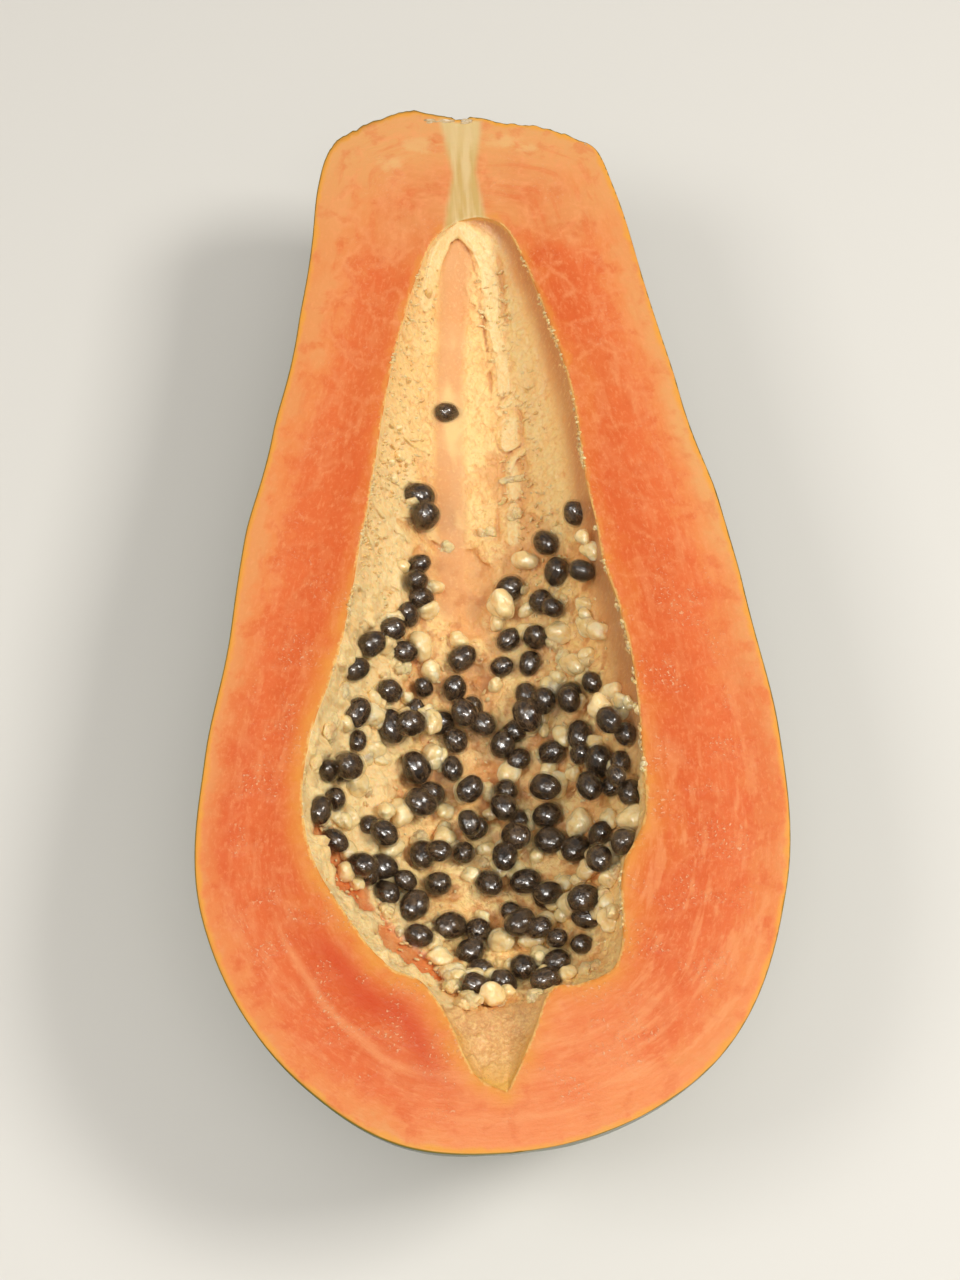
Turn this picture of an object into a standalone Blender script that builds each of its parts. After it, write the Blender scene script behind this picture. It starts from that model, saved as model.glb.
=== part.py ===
"""Half of a ripe papaya, cut lengthwise, lying on its skin with the seeds still in the hollow."""

import math
import random

import bmesh
import bpy
import numpy as np
from mathutils import Matrix, Vector

# The floor is z = 0, the cut face looks up and the stem end points to +Y.
# Sizes are in millimetres and become metres when a point is placed.
MM = 0.001
CUT_HEIGHT = 59.5
CENTRE_ALONG = -40.0

# The outside, as the distance from the centre of the cut face at these angles from the stem end.
OUTLINE_ANGLES = (0, 4, 8, 11, 13, 15, 20, 30, 45, 60, 90, 120, 150, 165, 180)
RIGHT_OUTLINE = (166.4, 165.6, 164.4, 162.2, 159, 150, 127.8, 100.2, 80.6, 69.9, 65, 72.5, 85.3, 88, 89.2)
LEFT_OUTLINE = (166.4, 169.6, 166.6, 162, 151.5, 138, 116, 92.5, 75.2, 65, 62.6, 73.1, 84.6, 89.3, 89.2)
KEEL_OUTLINE = (166.4, 167, 165, 161, 152, 142, 121.8, 97.5, 79.5, 69, 59.7, 66, 80.5, 87.2, 89.2)

# The hollow, in the same way: its two rims on the cut face and its floor.
HOLLOW_ANGLES = (0, 2.5, 5, 7.5, 10, 15, 20, 30, 45, 60, 90, 120, 140, 155, 163, 170, 175, 180)
RIGHT_RIM = (136, 137, 134, 123.5, 112.5, 94, 76, 56.9, 45, 38.8, 34.2, 38.5, 42.3, 57, 57.2, 57.2, 66, 76.7)
LEFT_RIM = (136, 131.5, 121.5, 110, 99.5, 81.5, 69, 54.5, 43.3, 39, 40.2, 45.8, 49.5, 54.5, 55.5, 63, 73, 76.7)
HOLLOW_FLOOR = (136, 130, 122, 112, 103, 86, 74, 58.5, 45.5, 39.2, 35.5, 39.4, 46.5, 53, 56, 58.5, 65, 76.7)

# How finely the two shells are divided along the fruit and round it.
ROWS = 46
OUTER_COLUMNS = 18
HOLLOW_COLUMNS = 14
FINE_STEPS = 720

# Five shallow lobes round the outside, and the unevenness of the hollow.
LOBES = 5
LOBE_HEIGHT = 0.9
LOBE_TURN = 20.0
SWELL_HEIGHT = 0.7
SWELL_LENGTH = 17.0
SWELL_TURN = 34.0

# The bed of seeds: its limits round the hollow at places along the fruit, and how often
# a seed is thrown at it. Turning starts at the right rim, is 90 on the floor and ends at
# 180, the left rim.
BED_PLACES = (-95, -86, -72, -52, -32, -16)
BED_RIGHT_LIMIT = (70, 24, 8, 5, 10, 34)
BED_LEFT_LIMIT = (110, 126, 148, 168, 164, 154)
BED_THROWS = 1200
# Seeds in clumps, thrown before the bed: place along the fruit, turn, radius and number.
SEED_CLUMPS = (
    (54, 107, 1, 1),
    (33, 123, 2.5, 2),
    (12, 118, 4, 3),
    (3, 124, 1, 1),
    (21, 23, 1, 1),
    (16, 54, 7, 3),
    (12, 79, 4, 2),
    (8, 15, 5, 2),
    (1, 60, 7, 4),
    (-7, 74, 5, 3),
    (-10, 37, 6, 2),
    (-12, 157, 5, 2),
    (-10, 108, 7, 4),
    (-5, 130, 5, 2),
    (-85, 76, 7, 6),
)
SEED_DRAW = 54
CLUMP_TRIES = 60
TURN_PER_MM = 1.7
SEED_GAP = 6.0
PILED_GAP = 5.0
PILED_SHARE = 0.15
PILE_STEP = 0.4
PILE_HEIGHT = 5.0
SEED_LENGTH = 6.8
SEED_LENGTH_SPREAD = 0.7
SHORTEST_SEED = 5.2
LONGEST_SEED = 8.2
SEED_WIDTH_SHARE = 0.88
SEED_DEPTH_SHARE = 0.82
SEED_SINK = 0.9
SEED_LEAN = 0.35
PATCH_LENGTH = 11.0
PATCH_TURNS = (20.0, 6.4, 14.0)
PATCH_LEVEL = -0.35
PALE_SHARE = 0.21
PALE_SIZE_SHARE = 0.8
SEED_SIDES = 6
SEED_RINGS = 4


def smooth_value(stations, values, at):
    """Values at the places of a smooth curve through the values at the stations."""
    stations = np.asarray(stations, float)
    values = np.asarray(values, float)
    slopes = np.gradient(values, stations)
    slot = np.searchsorted(stations, at, side="right") - 1
    slot = np.clip(slot, 0, len(stations) - 2)
    span = stations[slot + 1] - stations[slot]
    t = (at - stations[slot]) / span
    start = (1 + 2 * t) * (1 - t) ** 2 * values[slot]
    start = start + t * (1 - t) ** 2 * span * slopes[slot]
    end = t * t * (3 - 2 * t) * values[slot + 1]
    end = end + t * t * (t - 1) * span * slopes[slot + 1]
    return start + end


def reach(stations, right, left, below, angle, roll):
    """Distance from the centre to a shell, mixed from its right, left and lower outlines."""
    on_right = smooth_value(stations, right, angle)
    on_left = smooth_value(stations, left, angle)
    side = np.where(np.cos(np.radians(roll)) >= 0, on_right, on_left)
    share = np.sin(np.radians(roll)) ** 2
    return side * (1 - share) + smooth_value(stations, below, angle) * share


def placed(angle, roll, distance):
    """Points in millimetres at a distance from the centre of the cut face."""
    across = distance * np.sin(np.radians(angle))
    right = across * np.cos(np.radians(roll))
    along = CENTRE_ALONG + distance * np.cos(np.radians(angle))
    up = CUT_HEIGHT - across * np.sin(np.radians(roll))
    return np.stack(np.broadcast_arrays(right, along, up), axis=-1)


def outer_points(angle, roll):
    """Points on the skin. It rests on a small flat spot on the floor."""
    distance = reach(OUTLINE_ANGLES, RIGHT_OUTLINE, LEFT_OUTLINE, KEEL_OUTLINE, angle, roll)
    fade = np.sin(np.radians(angle)) * np.sin(np.radians(roll))
    lobes = np.cos(np.radians(LOBES * (roll - LOBE_TURN)))
    points = placed(angle, roll, distance + LOBE_HEIGHT * fade * lobes)
    points[..., 2] = np.maximum(points[..., 2], 0)
    return points


def hollow_points(angle, roll, inward=0.0):
    """Points on the wall of the hollow, or above it by the inward distance."""
    distance = reach(HOLLOW_ANGLES, RIGHT_RIM, LEFT_RIM, HOLLOW_FLOOR, angle, roll)
    along = distance * np.cos(np.radians(angle))
    swell = np.sin(along / SWELL_LENGTH * math.pi) * np.cos(roll / SWELL_TURN * math.pi)
    fade = np.sin(np.radians(angle)) * np.sin(np.radians(roll))
    return placed(angle, roll, distance + SWELL_HEIGHT * swell * fade - inward)


def even_angles(points_at, count):
    """Angles that divide the mean length of a shell's two edges on the cut face evenly."""
    angles = np.linspace(0, 180, FINE_STEPS + 1)
    length = np.zeros(len(angles))
    for roll in (0, 180):
        steps = np.diff(points_at(angles, np.full(len(angles), float(roll))), axis=0)
        length[1:] += np.cumsum(np.linalg.norm(steps, axis=1))
    return np.interp(np.linspace(0, length[-1], count + 1), length, angles)


def add_shell(mesh, points_at, columns):
    """Half shell between two poles on the cut face. Returns its rows of vertices."""
    angles = even_angles(points_at, ROWS)
    rolls = np.linspace(0, 180, columns + 1)
    grid = points_at(angles[:, None], rolls[None, :]) * MM
    rows = []
    for index, line in enumerate(grid):
        if index in (0, ROWS):
            pole = mesh.verts.new(line[0])
            rows.append([pole] * (columns + 1))
        else:
            rows.append([mesh.verts.new(point) for point in line])
    return rows


def fill_between(mesh, first, second, material):
    """Faces between two lines of vertices, leaving out corners that are one vertex."""
    for a, b, c, d in zip(first, first[1:], second[1:], second):
        corners = list(dict.fromkeys((a, b, c, d)))
        if len(corners) > 2:
            mesh.faces.new(corners).material_index = material


def fruit_body():
    """The half fruit without seeds, closed by its flat cut face."""
    mesh = bmesh.new()
    skin = add_shell(mesh, outer_points, OUTER_COLUMNS)
    wall = add_shell(mesh, hollow_points, HOLLOW_COLUMNS)
    for above, below in zip(skin, skin[1:]):
        fill_between(mesh, above, below, 1)
    for above, below in zip(wall, wall[1:]):
        fill_between(mesh, above, below, 0)
    for side in (0, -1):
        skin_edge = [row[side] for row in skin]
        wall_edge = [row[side] for row in wall]
        fill_between(mesh, skin_edge, wall_edge, 0)
    bmesh.ops.recalc_face_normals(mesh, faces=mesh.faces)
    return mesh


def wall_point(along, roll, inward):
    """Point above the wall of the hollow, given its place along the fruit and round it."""
    angles = np.linspace(180, 0, FINE_STEPS + 1)
    angle = np.interp(along, hollow_points(angles, roll)[:, 1], angles)
    return Vector(hollow_points(angle, roll, inward))


def in_patch(along, roll):
    """Whether a place belongs to the clumps that the seeds lie in."""
    first = math.sin(along / PATCH_LENGTH * math.pi + roll / PATCH_TURNS[0])
    second = math.sin(roll / PATCH_TURNS[1] - along / PATCH_TURNS[2])
    return first * second > PATCH_LEVEL


def throw_seed(draw, seeds, along, roll):
    """Adds a seed at a place of the wall if there is room. A piled one is lifted onto others."""
    length = draw.gauss(SEED_LENGTH, SEED_LENGTH_SPREAD)
    length = min(max(length, SHORTEST_SEED), LONGEST_SEED)
    pale = draw.random() < PALE_SHARE
    piled = draw.random() < PILED_SHARE
    spin = draw.uniform(0, math.tau)
    lean = draw.gauss(0, SEED_LEAN)
    length *= PALE_SIZE_SHARE if pale else 1.0
    foot = wall_point(along, roll, 0.0)
    inward = (wall_point(along, roll, 1.0) - foot).normalized()
    lift = length * SEED_DEPTH_SHARE / 2 - SEED_SINK
    highest = lift + (PILE_HEIGHT if piled else 0.0)
    gap = PILED_GAP if piled else SEED_GAP
    while lift <= highest:
        centre = foot + inward * lift
        if all((centre - seed[0]).length >= gap for seed in seeds):
            seeds.append((centre, inward, length, spin, lean, pale))
            return True
        lift += PILE_STEP
    return False


def seed_places():
    """Centre, inward direction, length, spin, lean and kind of each seed."""
    draw = random.Random(SEED_DRAW)
    seeds = []
    for place, turn, radius, number in SEED_CLUMPS:
        for _ in range(CLUMP_TRIES):
            along = place + draw.uniform(-radius, radius)
            roll = turn + draw.uniform(-radius, radius) * TURN_PER_MM
            number -= throw_seed(draw, seeds, along, roll)
            if number == 0:
                break
    for _ in range(BED_THROWS):
        along = draw.uniform(BED_PLACES[0], BED_PLACES[-1])
        roll = draw.uniform(0, 180)
        right = np.interp(along, BED_PLACES, BED_RIGHT_LIMIT)
        left = np.interp(along, BED_PLACES, BED_LEFT_LIMIT)
        if right < roll < left and in_patch(along, roll):
            throw_seed(draw, seeds, along, roll)
    return seeds


def seed_turn(inward, spin, lean):
    """Rotation that lays a seed on the wall, spun about the wall's normal and tipped a little."""
    upright = Vector((0, 0, 1)).rotation_difference(inward).to_matrix()
    return upright @ Matrix.Rotation(spin, 3, "Z") @ Matrix.Rotation(lean, 3, "Y")


def add_object(name, mesh, materials):
    """Object made of a finished mesh, in no collection yet."""
    data = bpy.data.meshes.new(name)
    mesh.to_mesh(data)
    mesh.free()
    for material in materials:
        data.materials.append(material)
    return bpy.data.objects.new(name, data)


def seed_object(seed, materials):
    """One seed as a small closed egg shape."""
    centre, inward, length, spin, lean, pale = seed
    half = Vector((1, SEED_WIDTH_SHARE, SEED_DEPTH_SHARE)) * length / 2
    mesh = bmesh.new()
    bmesh.ops.create_uvsphere(mesh, u_segments=SEED_SIDES, v_segments=SEED_RINGS, radius=1)
    turn = seed_turn(inward, spin, lean)
    for vertex in mesh.verts:
        stretched = Vector(a * b for a, b in zip(vertex.co, half))
        vertex.co = (centre + turn @ stretched) * MM
    for face in mesh.faces:
        face.material_index = 3 if pale else 2
    return add_object("seed", mesh, materials)


def keep_largest_island(obj):
    """Removes whatever the joined solid doesn't hold: sealed pockets and loose scraps."""
    mesh = bmesh.new()
    mesh.from_mesh(obj.data)
    waiting = set(mesh.verts)
    islands = []
    while waiting:
        island = set()
        edge_of_island = [waiting.pop()]
        while edge_of_island:
            vertex = edge_of_island.pop()
            island.add(vertex)
            for edge in vertex.link_edges:
                other = edge.other_vert(vertex)
                if other in waiting:
                    waiting.remove(other)
                    edge_of_island.append(other)
        islands.append(island)
    islands.sort(key=len)
    for island in islands[:-1]:
        bmesh.ops.delete(mesh, geom=list(island), context="VERTS")
    mesh.to_mesh(obj.data)
    mesh.free()
    return len(islands) - 1


def make_material(name, colour, roughness):
    """Plain surface of one colour."""
    material = bpy.data.materials.new(name)
    material.use_nodes = True
    surface = material.node_tree.nodes["Principled BSDF"]
    surface.inputs["Base Color"].default_value = (*colour, 1)
    surface.inputs["Roughness"].default_value = roughness
    surface.inputs["Metallic"].default_value = 0.0
    material.diffuse_color = (*colour, 1)
    return material


def main():
    for obj in list(bpy.data.objects):
        bpy.data.objects.remove(obj)
    materials = [
        make_material("papaya_flesh", (0.85, 0.25, 0.07), 0.35),
        make_material("papaya_skin", (0.05, 0.09, 0.02), 0.35),
        make_material("papaya_seed", (0.03, 0.02, 0.015), 0.2),
        make_material("papaya_pale_seed", (0.62, 0.45, 0.22), 0.3),
    ]
    half = add_object("papaya_half", fruit_body(), materials)
    bpy.context.scene.collection.objects.link(half)
    seeds = bpy.data.collections.new("seeds")
    bpy.context.scene.collection.children.link(seeds)
    for seed in seed_places():
        seeds.objects.link(seed_object(seed, materials))
    count = len(seeds.objects)

    join = half.modifiers.new("join_seeds", "BOOLEAN")
    join.operation = "UNION"
    join.operand_type = "COLLECTION"
    join.collection = seeds
    join.solver = "EXACT"
    bpy.context.view_layer.objects.active = half
    bpy.ops.object.modifier_apply(modifier=join.name)
    for obj in list(seeds.objects):
        bpy.data.objects.remove(obj)
    bpy.data.collections.remove(seeds)
    dropped = keep_largest_island(half)
    half.data.calc_loop_triangles()
    triangles = len(half.data.loop_triangles)
    print(f"{count} seeds, {triangles} triangles, {dropped} scraps or pockets removed")


main()
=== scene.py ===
import itertools
import math
import random

import bmesh
import bpy
import numpy as np
from mathutils import Matrix, Vector


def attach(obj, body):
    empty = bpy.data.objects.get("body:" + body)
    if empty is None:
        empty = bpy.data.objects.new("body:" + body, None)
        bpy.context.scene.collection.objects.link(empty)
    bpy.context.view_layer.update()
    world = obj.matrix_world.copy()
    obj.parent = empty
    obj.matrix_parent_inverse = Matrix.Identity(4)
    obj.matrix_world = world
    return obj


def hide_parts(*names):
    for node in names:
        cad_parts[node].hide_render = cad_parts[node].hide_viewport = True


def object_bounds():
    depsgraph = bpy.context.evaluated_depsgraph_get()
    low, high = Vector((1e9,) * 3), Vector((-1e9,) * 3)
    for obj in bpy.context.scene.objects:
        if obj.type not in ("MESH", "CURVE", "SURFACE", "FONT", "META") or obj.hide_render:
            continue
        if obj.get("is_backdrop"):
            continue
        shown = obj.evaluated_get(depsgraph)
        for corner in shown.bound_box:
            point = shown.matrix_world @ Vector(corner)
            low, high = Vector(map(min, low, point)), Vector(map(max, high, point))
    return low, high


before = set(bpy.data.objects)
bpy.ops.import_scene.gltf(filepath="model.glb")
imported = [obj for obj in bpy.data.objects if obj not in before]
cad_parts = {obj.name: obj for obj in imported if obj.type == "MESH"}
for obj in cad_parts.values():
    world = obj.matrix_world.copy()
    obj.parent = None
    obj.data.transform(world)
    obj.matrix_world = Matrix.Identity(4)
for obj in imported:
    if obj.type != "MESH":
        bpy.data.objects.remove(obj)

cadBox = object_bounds()
scene = bpy.context.scene
mm = 0.001
fullTurn = 6.3  # radians, a little over one turn

# The fruit. Outlines are distances in mm from a point in the cut face, at angles from the stem end,
# and the hollow's three lines are measured in the same way.
fruit = {
    "cutHeight": 59.5,
    "centreAlong": -40.0,
    "outlineAngles": (0, 4, 8, 11, 13, 15, 20, 30, 45, 60, 90, 120, 150, 165, 180),
    "rightOutline": (
        166.4, 165.6, 164.4, 162.2, 159, 150, 127.8, 100.2, 80.6, 69.9, 65, 72.5, 85.3, 88, 89.2
    ),
    "leftOutline": (
        166.4, 169.6, 166.6, 162, 151.5, 138, 116, 92.5, 75.2, 65, 62.6, 73.1, 84.6, 89.3, 89.2
    ),
    "keelOutline": (
        166.4, 167, 165, 161, 152, 142, 121.8, 97.5, 79.5, 69, 59.7, 66, 80.5, 87.2, 89.2
    ),
    "hollowAngles": (0, 2.5, 5, 7.5, 10, 15, 20, 30, 45, 60, 90, 120, 140, 155, 163, 170, 175, 180),
    "rightRim": (
        136, 137, 134, 123.5, 112.5, 94, 76, 56.9, 45,
        38.8, 34.2, 38.5, 42.3, 57, 57.2, 57.2, 66, 76.7
    ),
    "leftRim": (
        136, 131.5, 121.5, 110, 99.5, 81.5, 69, 54.5, 43.3,
        39, 40.2, 45.8, 49.5, 54.5, 55.5, 63, 73, 76.7
    ),
    "hollowFloor": (
        136, 130, 122, 112, 103, 86, 74, 58.5, 45.5,
        39.2, 35.5, 39.4, 46.5, 53, 56, 58.5, 65, 76.7
    ),
    "lobes": 5,
    "lobeHeight": 0.9,
    "lobeTurn": 20.0,
    "swellHeight": 0.7,
    "swellLength": 17.0,
    "swellTurn": 34.0,
    "profileSteps": 721,
    "rows": 340,
    "skinColumns": 36,
    "bandColumns": 15,
    "hollowColumns": 214,
}


def smoothValue(stations, values, at):
    stations = np.asarray(stations, float)
    values = np.asarray(values, float)
    slopes = np.gradient(values, stations)
    slot = np.clip(np.searchsorted(stations, at, side="right") - 1, 0, len(stations) - 2)
    span = stations[slot + 1] - stations[slot]
    t = (at - stations[slot]) / span
    start = (1 + 2 * t) * (1 - t) ** 2 * values[slot] + t * (1 - t) ** 2 * span * slopes[slot]
    end = t * t * (3 - 2 * t) * values[slot + 1] + t * t * (t - 1) * span * slopes[slot + 1]
    return start + end


def reach(stations, right, left, below, angle, roll):
    onRight = np.cos(np.radians(roll)) >= 0
    sides = [smoothValue(stations, line, angle) for line in (right, left)]
    side = np.where(onRight, *sides)
    share = np.sin(np.radians(roll)) ** 2
    return side * (1 - share) + smoothValue(stations, below, angle) * share


def placed(angle, roll, distance):
    across = distance * np.sin(np.radians(angle))
    right = across * np.cos(np.radians(roll))
    along = fruit["centreAlong"] + distance * np.cos(np.radians(angle))
    up = fruit["cutHeight"] - across * np.sin(np.radians(roll))
    return np.stack(np.broadcast_arrays(right, along, up), axis=-1)


def outerPoints(angle, roll):
    names = ("outlineAngles", "rightOutline", "leftOutline", "keelOutline")
    outlines = [fruit[name] for name in names]
    fade = np.sin(np.radians(angle)) * np.sin(np.radians(roll))
    lobes = np.cos(np.radians(fruit["lobes"] * (roll - fruit["lobeTurn"])))
    points = placed(angle, roll, reach(*outlines, angle, roll) + fruit["lobeHeight"] * fade * lobes)
    points[..., 2] = np.maximum(points[..., 2], 0)  # the small flat it rests on
    return points


def hollowPoints(angle, roll, inward=0.0):
    outlines = [fruit[name] for name in ("hollowAngles", "rightRim", "leftRim", "hollowFloor")]
    distance = reach(*outlines, angle, roll)
    along = distance * np.cos(np.radians(angle))
    swell = np.sin(along / fruit["swellLength"] * math.pi)
    swell = swell * np.cos(roll / fruit["swellTurn"] * math.pi)
    fade = np.sin(np.radians(angle)) * np.sin(np.radians(roll))
    return placed(angle, roll, distance + fruit["swellHeight"] * swell * fade - inward)


def evenAngles(pointsAt, shares):
    angles = np.linspace(0, 180, fruit["profileSteps"])
    length = np.zeros(len(angles))
    for roll in (0, 180):
        steps = np.diff(pointsAt(angles, np.full(len(angles), float(roll))), axis=0)
        length[1:] += np.cumsum(np.linalg.norm(steps, axis=1))
    return np.interp(shares * length[-1], length, angles)


def wallPoint(along, roll, inward=0.0):
    angles = np.linspace(180, 0, fruit["profileSteps"])
    angle = np.interp(along, hollowPoints(angles, roll)[:, 1], angles)
    return Vector(hollowPoints(angle, roll, inward))


def wallInward(along, roll):
    return (wallPoint(along, roll, 1.0) - wallPoint(along, roll)).normalized()


def cloudAt(points, size, octaves=2, seed=0):
    # smooth uneven values between about -1 and 1, one for each point
    table = np.random.default_rng(seed).uniform(-1, 1, 4096)
    total = np.zeros(len(points))
    for octave in range(octaves):
        at = points / size * 2.0**octave + 17.3 * octave
        cell = np.floor(at).astype(np.int64)
        t = at - cell
        t = t * t * (3 - 2 * t)
        for corner in itertools.product((0, 1), repeat=3):
            share = np.prod(np.where(corner, t, 1 - t), axis=1)
            mixed = np.bitwise_xor.reduce((cell + corner) * (73856093, 19349663, 83492791), axis=1)
            total += table[mixed % len(table)] * share * 0.5**octave
    return total


def softStep(value, low, high):
    t = np.clip((value - low) / (high - low), 0, 1)
    return t * t * (3 - 2 * t)


def nearest(points, line):
    best = np.full(len(points), np.inf)
    for start in range(0, len(line), 64):
        gaps = np.linalg.norm(points[:, None] - line[None, start : start + 64], axis=2)
        best = np.minimum(best, gaps.min(axis=1))
    return best


def pathPoints(path, step=0.8):
    # points on the wall of the hollow, along a path of places along the fruit and round it
    ends = np.array([wallPoint(along, roll) for along, roll in path])
    lengths = np.concatenate([[0], np.cumsum(np.linalg.norm(np.diff(ends, axis=0), axis=1))])
    at = np.linspace(0, lengths[-1], max(2, int(lengths[-1] / step)))
    places = np.array(path)
    alongs = np.interp(at, lengths, places[:, 0])
    rolls = np.interp(at, lengths, places[:, 1])
    return np.array([wallPoint(along, roll) for along, roll in zip(alongs, rolls)])


def wallTurn(along, roll, spin=0.0):
    # turns a thing so that its height points into the hollow
    upright = Vector((0, 0, 1)).rotation_difference(wallInward(along, roll)).to_matrix()
    return upright @ Matrix.Rotation(spin, 3, "Z")


class Wire:
    # a socket of a material's tree, on which sums add Math nodes
    def __init__(self, paint, socket):
        self.paint = paint
        self.socket = socket

    def maths(self, operation, *values):
        return self.paint.node("ShaderNodeMath", {"operation": operation}, dict(enumerate(values)))

    def __add__(self, other):
        return self.maths("ADD", self, other)

    def __sub__(self, other):
        return self.maths("SUBTRACT", self, other)

    def __rsub__(self, other):
        return self.maths("SUBTRACT", other, self)

    def __mul__(self, other):
        return self.maths("MULTIPLY", self, other)

    def __truediv__(self, other):
        return self.maths("DIVIDE", self, other)

    def __rtruediv__(self, other):
        return self.maths("DIVIDE", other, self)

    __radd__ = __add__
    __rmul__ = __mul__

    def absolute(self):
        return self.maths("ABSOLUTE", self)

    def step(self, low, high):
        # 0 below low and 1 above high, with a soft change between
        settings = {"interpolation_type": "SMOOTHSTEP"}
        return self.paint.node("ShaderNodeMapRange", settings, {0: self, 1: low, 2: high})

    def fade(self, low, high):
        return 1 - self.step(low, high)

    def hump(self, middle, width):
        # 1 at the middle, fading to 0 at the width either side
        return (self - middle).absolute().fade(0.0, width)


def linear(red, green, blue):
    channels = [channel / 255 for channel in (red, green, blue)]
    return [c / 12.92 if c <= 0.04045 else ((c + 0.055) / 1.055) ** 2.4 for c in channels] + [1.0]


class Paint:
    # a material, its look of named colours, and the colour that its layers have made so far
    def __init__(self, name, look=None, softness=None, **constants):
        if softness:
            names = ("Subsurface_Weight", "Subsurface_Radius", "Subsurface_Scale")
            constants.update(zip(names, softness))
        self.look = look
        self.colour = None
        self.material = bpy.data.materials.new(name)
        self.material.use_nodes = True
        self.tree = self.material.node_tree
        self.shader = self.tree.nodes["Principled BSDF"]
        for socket, value in constants.items():
            self.shader.inputs[socket.replace("_", " ")].default_value = value

    def node(self, kind, settings=None, inputs=None, output=0):
        made = self.tree.nodes.new(kind)
        for name, value in (settings or {}).items():
            if name == "stops":
                ramp = made.color_ramp
                while len(ramp.elements) < len(value):
                    ramp.elements.new(1.0)
                for element, (position, colour) in zip(ramp.elements, value):
                    element.position = position
                    element.color = colour
            else:
                setattr(made, name, value)
        for socket, value in (inputs or {}).items():
            if isinstance(value, Wire):
                self.tree.links.new(value.socket, made.inputs[socket])
            else:
                made.inputs[socket].default_value = value
        return Wire(self, made.outputs[output])

    def feed(self, socket, wire):
        self.tree.links.new(wire.socket, self.shader.inputs[socket])

    def place(self):
        return self.node("ShaderNodeTexCoord", output="Object")

    def apart(self, vector, axis):
        return self.node("ShaderNodeSeparateXYZ", None, {0: vector}, output=axis)

    def attribute(self, name, output="Fac"):
        return self.node("ShaderNodeAttribute", {"attribute_name": name}, output=output)

    def vectors(self, operation, first, second=(0, 0, 0), output="Vector"):
        settings = {"operation": operation}
        return self.node("ShaderNodeVectorMath", settings, {0: first, 1: second}, output=output)

    def stretch(self, vector, x, y, z):
        return self.vectors("MULTIPLY", vector, (x, y, z))

    def noise(self, vector, size, detail=3.0, roughness=0.55, distortion=0.0, output="Fac"):
        inputs = {"Vector": vector, "Scale": 1 / size, "Detail": detail, "Roughness": roughness}
        inputs["Distortion"] = distortion
        return self.node("ShaderNodeTexNoise", None, inputs, output=output)

    def shifted(self, vector, size, reachMm):
        # the place moved about by noise, so that a pattern isn't regular
        cloud = self.noise(vector, size, detail=2.0, roughness=0.5, output="Color")
        centred = self.vectors("SUBTRACT", cloud, (0.5, 0.5, 0.5))
        return self.vectors("ADD", vector, self.stretch(centred, *[reachMm * mm] * 3))

    def cells(self, vector, size, feature="F1"):
        inputs = {"Vector": vector, "Scale": 1 / size}
        return self.node("ShaderNodeTexVoronoi", {"feature": feature}, inputs, output="Distance")

    def bump(self, height, distance, strength):
        inputs = {"Height": height, "Distance": distance, "Strength": strength}
        return self.node("ShaderNodeBump", None, inputs)

    def mix(self, factor, first, second):
        # each colour is a wire or a name from the look
        first, second = (self.look[c] if isinstance(c, str) else c for c in (first, second))
        inputs = {0: factor, 6: first, 7: second}
        return self.node("ShaderNodeMix", {"data_type": "RGBA"}, inputs, output=2)

    def ramp(self, factor, *stops, interpolation="LINEAR"):
        stops = [(position, self.look[name]) for position, name in stops]
        self.colour = self.node("ShaderNodeValToRGB", {"stops": stops}, {0: factor})
        self.colour.socket.node.color_ramp.interpolation = interpolation

    def lay(self, colour, mask):
        # the next layer of colour, which covers the others where its mask is 1
        self.colour = self.mix(mask, self.colour, colour)

    def finish(self, roughness, relief, depth, strength, coat=None):
        # joins the layers, the gloss and the bump to the shader
        self.feed("Base Color", self.colour)
        self.feed("Roughness", roughness)
        self.feed("Normal", self.bump(relief, depth, strength))
        if coat:
            self.feed("Coat Weight", coat)
        return self.material


fleshLook = {
    "golden": linear(227, 157, 58),
    "olive": linear(132, 115, 39),
    "pale": linear(223, 147, 88),
    "peach": linear(225, 134, 75),
    "salmon": linear(219, 107, 56),
    "deep": linear(211, 96, 45),
    "inner": linear(215, 111, 50),
    "yellow": linear(223, 149, 64),
    "lip": linear(236, 191, 115),
    "red": linear(202, 71, 32),
    "vein": linear(233, 157, 102),
    "blush": linear(231, 141, 87),
    "honey": linear(221, 164, 102),
    "smear": linear(225, 181, 121),
    "core": linear(217, 193, 140),
    "coreDark": linear(200, 170, 105),
    # painted highlight: the pale colour of the wet glints
    "wet": linear(241, 185, 140),
    # right of the middle, along, half width and half length
    "smears": (
        (-15.5, 114.0, 4.0, 3.0),
        (-9.0, 119.0, 6.0, 2.6),
        (13.0, 119.0, 5.0, 2.4),
        (18.5, 116.5, 4.0, 2.0),
    ),
}


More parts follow.
